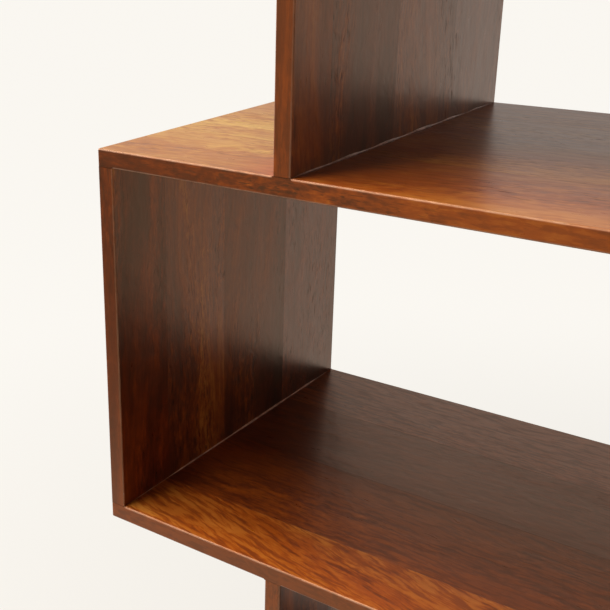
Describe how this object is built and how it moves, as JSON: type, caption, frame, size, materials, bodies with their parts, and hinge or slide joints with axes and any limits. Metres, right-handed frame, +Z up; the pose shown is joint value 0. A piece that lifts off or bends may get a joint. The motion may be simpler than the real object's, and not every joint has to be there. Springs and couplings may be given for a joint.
{
  "type": "zigzag bookshelf",
  "caption": "Free-standing open bookshelf of solid walnut-stained boards whose uprights step in from alternate ends, so that the tiers zigzag upwards.",
  "frame": {"origin": "on the floor under the middle of the bookshelf", "axes": "+Z up, +Y towards the back, +X to the right as seen from the front"},
  "size_m": [0.9, 0.38, 1.67],
  "materials": {
    "walnut_board": "edge-glued walnut-stained solid wood, satin lacquer",
    "walnut_panel": "edge-glued walnut-stained solid wood, satin lacquer, darker staves",
    "tongue_wood": "raw beech plywood",
    "glide_plastic": "moulded, matte",
    "screw_steel": "zinc plated"
  },
  "bodies": {
    "root": {"base_board": "walnut_board", "shelf_board_1": "walnut_board", "shelf_board_2": "walnut_board", "shelf_board_3": "walnut_board", "shelf_board_4": "walnut_board", "top_board": "walnut_board", "tier_1_left_panel": "walnut_panel", "tier_1_left_lower_tongue": "tongue_wood", "tier_1_left_upper_tongue": "tongue_wood", "tier_1_right_panel": "walnut_panel", "tier_1_right_lower_tongue": "tongue_wood", "tier_1_right_upper_tongue": "tongue_wood", "tier_2_left_panel": "walnut_panel", "tier_2_left_lower_tongue": "tongue_wood", "tier_2_left_upper_tongue": "tongue_wood", "tier_2_right_panel": "walnut_panel", "tier_2_right_lower_tongue": "tongue_wood", "tier_2_right_upper_tongue": "tongue_wood", "tier_3_left_panel": "walnut_panel", "tier_3_left_lower_tongue": "tongue_wood", "tier_3_left_upper_tongue": "tongue_wood", "tier_3_right_panel": "walnut_panel", "tier_3_right_lower_tongue": "tongue_wood", "tier_3_right_upper_tongue": "tongue_wood", "tier_4_left_panel": "walnut_panel", "tier_4_left_lower_tongue": "tongue_wood", "tier_4_left_upper_tongue": "tongue_wood", "tier_4_right_panel": "walnut_panel", "tier_4_right_lower_tongue": "tongue_wood", "tier_4_right_upper_tongue": "tongue_wood", "tier_5_left_panel": "walnut_panel", "tier_5_left_lower_tongue": "tongue_wood", "tier_5_left_upper_tongue": "tongue_wood", "tier_5_right_panel": "walnut_panel", "tier_5_right_lower_tongue": "tongue_wood", "tier_5_right_upper_tongue": "tongue_wood", "floor_glide_1": "glide_plastic", "glide_screw_1": "screw_steel", "floor_glide_2": "glide_plastic", "glide_screw_2": "screw_steel", "floor_glide_3": "glide_plastic", "glide_screw_3": "screw_steel", "floor_glide_4": "glide_plastic", "glide_screw_4": "screw_steel", "floor_glide_5": "glide_plastic", "glide_screw_5": "screw_steel", "floor_glide_6": "glide_plastic", "glide_screw_6": "screw_steel"}
  },
  "joints": []
}
